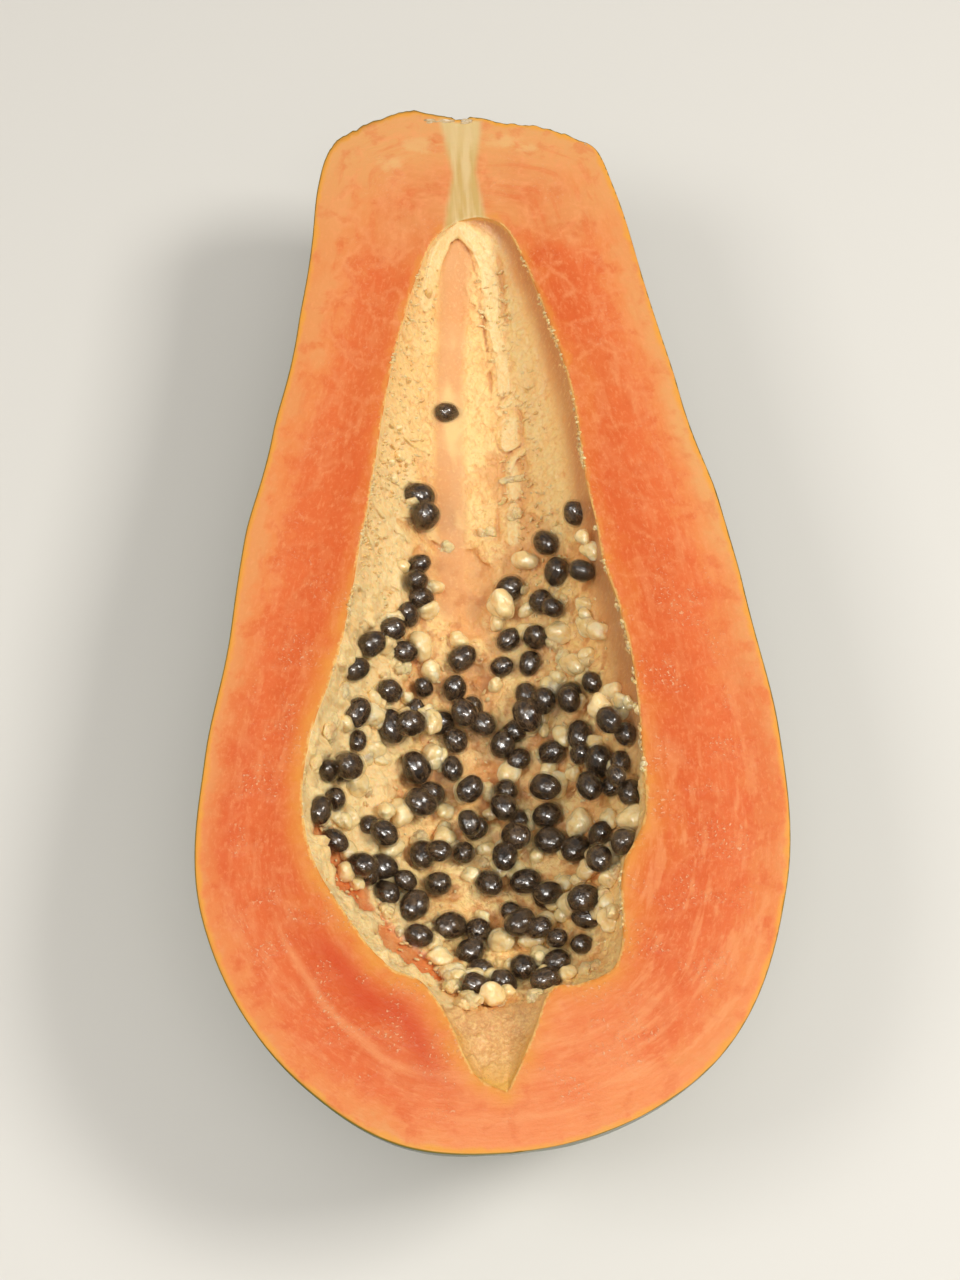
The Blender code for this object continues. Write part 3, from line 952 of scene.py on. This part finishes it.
# Seeds: the same rule as the solid's, so that each one stands where the solid has it.
bed = {
    "places": (-95, -86, -72, -52, -32, -16),
    "rightLimit": (70, 24, 8, 5, 10, 34),
    "leftLimit": (110, 126, 148, 168, 164, 154),
    "throws": 1200,
    "clumps": (
        (54, 107, 1, 1),
        (33, 123, 2.5, 2),
        (12, 118, 4, 3),
        (3, 124, 1, 1),
        (21, 23, 1, 1),
        (16, 54, 7, 3),
        (12, 79, 4, 2),
        (8, 15, 5, 2),
        (1, 60, 7, 4),
        (-7, 74, 5, 3),
        (-10, 37, 6, 2),
        (-12, 157, 5, 2),
        (-10, 108, 7, 4),
        (-5, 130, 5, 2),
        (-85, 76, 7, 6),
    ),
    "draw": 54,
    "clumpTries": 60,
    "turnPerMm": 1.7,
    "gap": 6.0,
    "piledGap": 5.0,
    "piledShare": 0.15,
    "pileStep": 0.4,
    "pileHeight": 5.0,
    "length": 6.8,
    "lengthSpread": 0.7,
    "shortest": 5.2,
    "longest": 8.2,
    "widthShare": 0.88,
    "depthShare": 0.82,
    "sink": 0.9,
    "lean": 0.35,
    "patchLength": 11.0,
    "patchTurns": (20.0, 6.4, 14.0),
    "patchLevel": -0.35,
    "paleShare": 0.21,
    "paleSizeShare": 0.8,
}


def inPatch(along, roll):
    first = math.sin(along / bed["patchLength"] * math.pi + roll / bed["patchTurns"][0])
    second = math.sin(roll / bed["patchTurns"][1] - along / bed["patchTurns"][2])
    return first * second > bed["patchLevel"]


def throwSeed(draw, seeds, along, roll):
    length = draw.gauss(bed["length"], bed["lengthSpread"])
    length = min(max(length, bed["shortest"]), bed["longest"])
    pale = draw.random() < bed["paleShare"]
    piled = draw.random() < bed["piledShare"]
    spin = draw.uniform(0, math.tau)
    lean = draw.gauss(0, bed["lean"])
    length *= bed["paleSizeShare"] if pale else 1.0
    foot = wallPoint(along, roll)
    inward = wallInward(along, roll)
    lift = length * bed["depthShare"] / 2 - bed["sink"]
    highest = lift + (bed["pileHeight"] if piled else 0.0)
    gap = bed["piledGap"] if piled else bed["gap"]
    while lift <= highest:
        centre = foot + inward * lift
        if all((centre - seed["centre"]).length >= gap for seed in seeds):
            turn = Vector((0, 0, 1)).rotation_difference(inward).to_matrix()
            turn = turn @ Matrix.Rotation(spin, 3, "Z") @ Matrix.Rotation(lean, 3, "Y")
            seeds.append({"centre": centre, "turn": turn, "length": length, "pale": pale})
            return True
        lift += bed["pileStep"]
    return False


def seedPlaces():
    draw = random.Random(bed["draw"])
    seeds = []
    for place, turn, radius, number in bed["clumps"]:
        for _ in range(bed["clumpTries"]):
            along = place + draw.uniform(-radius, radius)
            roll = turn + draw.uniform(-radius, radius) * bed["turnPerMm"]
            number -= throwSeed(draw, seeds, along, roll)
            if number == 0:
                break
    for _ in range(bed["throws"]):
        along = draw.uniform(bed["places"][0], bed["places"][-1])
        roll = draw.uniform(0, 180)
        right = np.interp(along, bed["places"], bed["rightLimit"])
        left = np.interp(along, bed["places"], bed["leftLimit"])
        if right < roll < left and inPatch(along, roll):
            throwSeed(draw, seeds, along, roll)
    return seeds


seedShape = {
    "long": 1.06,
    "core": 0.96,  # share of the seed that the dark core fills
    "film": 1.09,
    "filmTaper": 0.7,
    "filmWobbles": ((1.1, 0.02),),
    "taper": (0.04, 0.16),
    "ribs": ((0.5, 0.05), (0.24, 0.03)),
    "draw": 5,
}


def seedHalf(seed):
    return Vector((seedShape["long"], bed["widthShare"], bed["depthShare"])) * seed["length"] / 2


def blackSeeds(seeds):
    draw = random.Random(seedShape["draw"])
    cores = []
    films = []
    for seed in seeds:
        if not seed["pale"]:
            taper = draw.uniform(*seedShape["taper"])
            half = seedHalf(seed)
            core = ball(draw, seed["centre"], seed["turn"], half * seedShape["core"], taper=taper)
            cores.append(core)
            taper *= seedShape["filmTaper"]
            films.append({**core, "half": half * seedShape["film"], "taper": taper})
    ballPiece("blackSeeds", cores, 3, seedShape["ribs"], seedPaint())
    ballPiece("seedGel", films, 3, seedShape["filmWobbles"], gelPaint())


pale = {
    "draw": 8,
    "size": 1.1,
    "besides": (0, 1, 1, 2),  # how many smaller ones may stand beside one
    "besideSizes": (0.6, 0.9),
    "besideReach": 0.6,
    "wobbles": ((1.1, 0.34), (0.6, 0.14), (0.2, 0.03)),
    "between": 66,
    "room": 3.0,
    "betweenShape": (1.15, 0.9, 0.8),
    "tinySizes": (0.9, 1.4),
    "tiny": ((46, 148), (40, 141), (37, 150), (34, 145)),
}


def paleSeeds(seeds):
    draw = random.Random(pale["draw"])
    made = []
    for seed in seeds:
        if seed["pale"]:
            half = seedHalf(seed)
            made.append(ball(draw, seed["centre"], seed["turn"], half * pale["size"]))
            for _ in range(draw.choice(pale["besides"])):
                away = Vector((draw.uniform(-1, 1), draw.uniform(-1, 1), draw.uniform(-0.3, 0.1)))
                centre = seed["centre"] + seed["turn"] @ away * seed["length"] * pale["besideReach"]
                half = seedHalf(seed) * draw.uniform(*pale["besideSizes"])
                made.append(ball(draw, centre, seed["turn"], half))
    places = placesBetween(draw, seeds, pale["between"], pale["room"])
    places += [(along, roll, draw.uniform(*pale["tinySizes"])) for along, roll in pale["tiny"]]
    for along, roll, size in places:
        turn = wallTurn(along, roll, draw.uniform(0, fullTurn))
        half = Vector(pale["betweenShape"]) * size
        made.append(ball(draw, wallPoint(along, roll, size * 0.5), turn, half))
    ballPiece("paleSeeds", made, 4, pale["wobbles"], palePaint())


# Places on the wall of the seed bed with some room between the seeds.
spaces = {
    "tries": 60,
    "highest": 16,
    "turns": (22, 160),
    "sizes": (1.7, 2.7),
    "mostRoom": 2.5,  # past the least room
    "apart": 3.4,
}


def placesBetween(draw, seeds, count, room):
    found = []
    for _ in range(count * spaces["tries"]):
        along = draw.uniform(bed["places"][0] + 2, spaces["highest"])
        roll = draw.uniform(*spaces["turns"])
        place = wallPoint(along, roll, 1.5)
        clear = min((place - seed["centre"]).length for seed in seeds)
        apart = all((place - other[3]).length > spaces["apart"] for other in found)
        if room <= clear < room + spaces["mostRoom"] and apart:
            found.append((along, roll, draw.uniform(*spaces["sizes"]), place))
        if len(found) == count:
            break
    return [item[:3] for item in found]


crumbs = {
    "rim": 520,
    "rimClusters": 46,
    "wall": 900,
    "sizes": (0.16, 0.5),
    "lengths": (0.9, 2.2),
    "widths": (0.7, 1.1),
    "heights": (0.6, 1.0),
    "rimEnds": (-84, 86),
    "wallEnds": (-92, 86),
    "clusterLength": 1.8,
    "clusterTurn": 2.2,
    "lowTurns": ((24, 70), (70, 120), (120, 168)),
    "highTurns": ((42, 70), (126, 174), (126, 174)),
    "wobbles": ((0.9, 0.35),),
    "draw": 3,
}


def pulpCrumbs():
    draw = random.Random(crumbs["draw"])
    clusters = []
    for _ in range(crumbs["rimClusters"]):
        clusters.append((draw.uniform(*crumbs["rimEnds"]), draw.choice((0, 0, 180))))
    made = []
    for index in range(crumbs["rim"] + crumbs["wall"]):
        size = draw.uniform(*crumbs["sizes"])
        if index < crumbs["rim"]:
            middle, side = draw.choice(clusters)
            along = min(max(draw.gauss(middle, crumbs["clusterLength"]), -92), 90)
            roll = abs(side - abs(draw.gauss(0, crumbs["clusterTurn"])) - 0.3)
        else:
            along = draw.uniform(*crumbs["wallEnds"])
            roll = draw.uniform(*draw.choice(crumbs["lowTurns" if along < 0 else "highTurns"]))
        centre = wallPoint(along, roll, size * draw.uniform(0.0, 0.5))
        half = [draw.uniform(*crumbs[side]) for side in ("lengths", "widths", "heights")]
        turn = wallTurn(along, roll, draw.uniform(0, fullTurn))
        made.append(ball(draw, centre, turn, Vector(half) * size))
    ballPiece("pulpCrumbs", made, 2, crumbs["wobbles"], loosePaint("pulpCrumb"))


# Larger lumps of loose pulp: place along the fruit, turn, half length, half width, half height.
lumps = {
    "places": (
        (36, 63, 1.2, 3.2, 1.0),
        (27, 66, 1.8, 1.6, 1.2),
        (24, 84, 2.4, 2.0, 1.2),
        (21, 104, 2.6, 2.2, 1.3),
        (29, 128, 2.2, 3.4, 1.1),
        (-76, 116, 4.2, 2.6, 1.8),
        (-90, 122, 4.0, 2.6, 1.8),
        (-94, 112, 3.6, 2.6, 1.8),
        (-96, 128, 2.6, 2.0, 1.4),
        (-85, 64, 3.0, 2.4, 1.8),
        (-89, 34, 4.0, 2.8, 1.9),
        (-94, 62, 3.0, 2.6, 1.6),
        (-96, 46, 2.8, 2.0, 1.4),
        (-69, 16, 3.2, 2.4, 1.8),
        (-56, 12, 3.0, 2.0, 1.6),
        (-78, 14, 3.4, 2.2, 1.6),
        (-92, 84, 3.0, 2.4, 1.4),
        (-66, 124, 3.0, 2.4, 1.5),
        (-30, 164, 3.4, 2.6, 1.4),
        (-38, 168, 3.4, 2.6, 1.4),
        (-22, 160, 3.0, 2.4, 1.2),
        (12, 2, 0.8, 0.8, 0.7),
        (-8, 2, 1.0, 0.7, 0.7),
        (-33, 2, 1.4, 1.0, 0.9),
        (-47, 1, 1.1, 0.9, 0.8),
    ),
    "between": 24,
    "room": 2.6,
    "betweenShape": (1.1, 1.0, 0.7),
    "together": 3,
    "spin": 0.6,
    "reach": 0.7,
    "shares": (0.5, 0.8),
    "palest": 0.5,
    "wobbles": ((0.9, 0.3), (0.36, 0.16), (0.16, 0.1)),
    "draw": 21,
}


def pulpLumps(seeds):
    draw = random.Random(lumps["draw"])
    made = []
    places = list(lumps["places"])
    for along, roll, size in placesBetween(draw, seeds, lumps["between"], lumps["room"]):
        places.append((along, roll, *(size * share for share in lumps["betweenShape"])))
    for along, roll, length, width, height in places:
        for _ in range(lumps["together"]):
            turn = wallTurn(along, roll, draw.uniform(-lumps["spin"], lumps["spin"]))
            aside = draw.uniform(-lumps["reach"], lumps["reach"]) * width
            ahead = draw.uniform(-lumps["reach"], lumps["reach"]) * length
            centre = wallPoint(along, roll) + turn @ Vector((aside, ahead, height * 0.25))
            half = Vector((width, length, height * 1.3)) * draw.uniform(*lumps["shares"])
            thing = ball(draw, centre, turn, half)
            thing["tint"] = lumps["palest"] + (1 - lumps["palest"]) * thing["tint"]
            made.append(thing)
    ballPiece("pulpLumps", made, 4, lumps["wobbles"], loosePaint("pulpLump"))


# Curled threads of pulp. A large one's row is its place along the fruit, turn, length, thickness,
# spin and how much it curls.
threads = {
    "large": (
        (58, 145, 3.6, 0.7, 0.6, 1.8),
        (55, 128, 3.2, 0.6, 0.2, 1.2),
        (44, 138, 9.0, 0.35, -0.2, 0.3),
        (31, 72, 3.4, 0.6, 1.0, 2.0),
        (57, 42, 3.0, 0.5, 0.5, 1.6),
        (80, 139, 7.0, 1.0, 1.4, 0.1),
    ),
    "small": 560,
    "ends": (-88, 86),
    "turns": ((124, 175), (124, 175), (38, 70)),
    "curls": (0.5, 3.6),
    "lengths": (1.0, 3.0),
    "thickness": (0.18, 0.4),
    "flatness": 0.8,
    "sides": 7,
    "cuts": 7,
    "wobbles": ((0.35, 0.2), (0.15, 0.12)),
    "draw": 17,
}


def threadPoints(unit, grown, thread):
    # bends the upright rod along its curl
    t = unit[:, 2] + 0.5
    curl = thread["curl"]
    heading = curl * (t - 0.5)
    line = np.stack([np.sin(heading), 1 - np.cos(heading)], axis=1) * thread["length"] / curl
    thick = thread["thick"] * grown * np.sqrt(np.clip(1 - (2 * t - 1) ** 6, 0.04, 1))
    side = unit[:, 0] * thick
    aside = line[:, 0] - np.sin(heading) * side
    ahead = line[:, 1] + np.cos(heading) * side
    local = np.column_stack([aside, ahead, unit[:, 1] * thick * threads["flatness"]])
    return np.array(thread["centre"]) + local @ np.array(thread["turn"]).T


def pulpThreads():
    draw = random.Random(threads["draw"])
    places = list(threads["large"])
    for _ in range(threads["small"]):
        along = draw.uniform(*threads["ends"])
        roll = draw.choice([draw.uniform(*turns) for turns in threads["turns"]])
        size = (draw.uniform(*threads["lengths"]), draw.uniform(*threads["thickness"]))
        spin = draw.uniform(0, fullTurn)
        curl = draw.choice((-1, 1)) * draw.uniform(*threads["curls"])
        places.append((along, roll, *size, spin, curl))
    made = []
    for along, roll, length, thick, spin, curl in places:
        centre = wallPoint(along, roll, thick * 0.5)
        bend = {"length": length, "thick": thick, "curl": curl}
        made.append(ball(draw, centre, wallTurn(along, roll, spin), None, **bend))
    bm = bmesh.new()
    sides = threads["sides"]
    bmesh.ops.create_cone(bm, cap_ends=True, segments=sides, radius1=1, radius2=1, depth=1)
    upright = [edge for edge in bm.edges if abs(edge.verts[0].co.z - edge.verts[1].co.z) > 0.5]
    bmesh.ops.subdivide_edges(bm, edges=upright, cuts=threads["cuts"])
    paint = loosePaint("pulpThread")
    copied("pulpThreads", bm, made, threadPoints, threads["wobbles"], paint)


# Dry torn scraps at the stem: right of the middle, along, depth under the cut face, size and spin.
scraps = {
    "places": (
        (-5, 126.6, 0.6, 3.6, 0.1),
        (-1, 126.2, 1.0, 4.0, -0.1),
        (3.5, 125.8, 0.5, 3.4, 0.1),
        (8, 125.0, 1.2, 3.0, -0.1),
        (33, 117.2, 0.8, 2.6, -0.9),
        (36, 114.2, 1.2, 2.0, -1.1),
        (-13, 129.0, 1.4, 2.4, 0.2),
    ),
    "shape": (0.6, 0.2, 0.3),
    "lean": 0.3,
    "backwards": 0.5,
    "wobbles": ((0.7, 0.4), (0.25, 0.2)),
    "draw": 2,
}


def stemScraps():
    draw = random.Random(scraps["draw"])
    made = []
    for right, along, depth, size, spin in scraps["places"]:
        lean = draw.uniform(-scraps["lean"], scraps["lean"])
        turn = Matrix.Rotation(spin, 3, "Z") @ Matrix.Rotation(lean, 3, "X")
        centre = Vector((right, along - scraps["backwards"], fruit["cutHeight"] - depth))
        made.append(ball(draw, centre, turn, Vector([size * share for share in scraps["shape"]])))
    ballPiece("stemScraps", made, 4, scraps["wobbles"], scrapPaint())


stage = {
    "distance": 0.480,
    "tilt": 22.0,
    "azimuth": -3.0,
    "lens": 59.7,
    "target": (-0.0003, -0.015, 0.0595),
    "aim": (0, -0.02, 0.05),
    "world": (1.0, 0.95, 0.88),
    "worldStrength": 0.44,
    "floor": linear(218, 216, 211),
    "floorSize": 3.0,
    "floorLighter": 1.03,  # the palest clouds of the floor
    "lights": (
        # name, place, width, power, colour, and True where it only makes highlights
        ("keyLight", (0.56, 0.0, 0.74), 0.24, 4.4, (1.0, 0.975, 0.93), False),
        ("fillLight", (-0.5, -0.1, 0.76), 0.3, 2.0, (1.0, 0.985, 0.95), False),
        ("topLight", (0.06, -0.3, 1.15), 0.6, 2.2, (1.0, 0.99, 0.96), False),
        ("sparkLight", (0.05, -0.5, 0.85), 0.18, 6.0, (1.0, 0.97, 0.92), True),
        ("sideSpark", (-0.2, -0.38, 0.88), 0.12, 3.0, (1.0, 0.97, 0.92), True),
    ),
}


def setCamera():
    tilt = math.radians(stage["tilt"])
    azimuth = math.radians(stage["azimuth"])
    aside = math.sin(tilt)
    back = Vector((math.sin(azimuth) * aside, -math.cos(azimuth) * aside, math.cos(tilt)))
    right = Vector((math.cos(azimuth), math.sin(azimuth), 0))
    up = back.cross(right)
    data = bpy.data.cameras.new("camera")
    data.lens = stage["lens"]
    data.sensor_width = 36
    data.clip_start = 0.01
    camera = bpy.data.objects.new("camera", data)
    turn = Matrix((right, up, back)).transposed().to_4x4()
    place = Vector(stage["target"]) + back * stage["distance"]
    camera.matrix_world = Matrix.Translation(place) @ turn
    scene.collection.objects.link(camera)
    scene.camera = camera


def addLight(name, place, size, power, colour, highlightOnly=False):
    data = bpy.data.lights.new(name, "AREA")
    data.shape = "SQUARE"
    data.size = size
    data.energy = power
    data.color = colour
    light = bpy.data.objects.new(name, data)
    light.location = place
    towards = Vector(stage["aim"]) - Vector(place)
    light.rotation_euler = towards.to_track_quat("-Z", "Y").to_euler()
    light.visible_diffuse = not highlightOnly
    scene.collection.objects.link(light)


def setStage():
    bm = bmesh.new()
    bmesh.ops.create_grid(bm, x_segments=1, y_segments=1, size=stage["floorSize"])
    data = bpy.data.meshes.new("floor")
    bm.to_mesh(data)
    bm.free()
    floor = bpy.data.objects.new("floor", data)
    paint = Paint("paleFloor", Roughness=0.6)
    clouds = paint.noise(paint.place(), 0.3, detail=2.0)
    lighter = [channel * stage["floorLighter"] for channel in stage["floor"][:3]] + [1.0]
    paint.feed("Base Color", paint.mix(clouds, stage["floor"], lighter))
    data.materials.append(paint.material)
    scene.collection.objects.link(floor)
    floor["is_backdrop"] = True
    world = bpy.data.worlds.new("studio")
    scene.world = world
    world.use_nodes = True
    background = world.node_tree.nodes["Background"]
    background.inputs["Color"].default_value = (*stage["world"], 1)
    background.inputs["Strength"].default_value = stage["worldStrength"]
    for light in stage["lights"]:
        addLight(*light)
    scene.view_settings.view_transform = "Standard"


seeds = seedPlaces()
print(f"{len(seeds)} seeds, {sum(seed['pale'] for seed in seeds)} of them pale")
papayaFlesh()
blackSeeds(seeds)
paleSeeds(seeds)
pulpCrumbs()
pulpLumps(seeds)
pulpThreads()
stemScraps()
setCamera()
setStage()

boxes = {"cad": cadBox, "visual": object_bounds()}
boxes = {name: [list(corner) for corner in box] for name, box in boxes.items()}
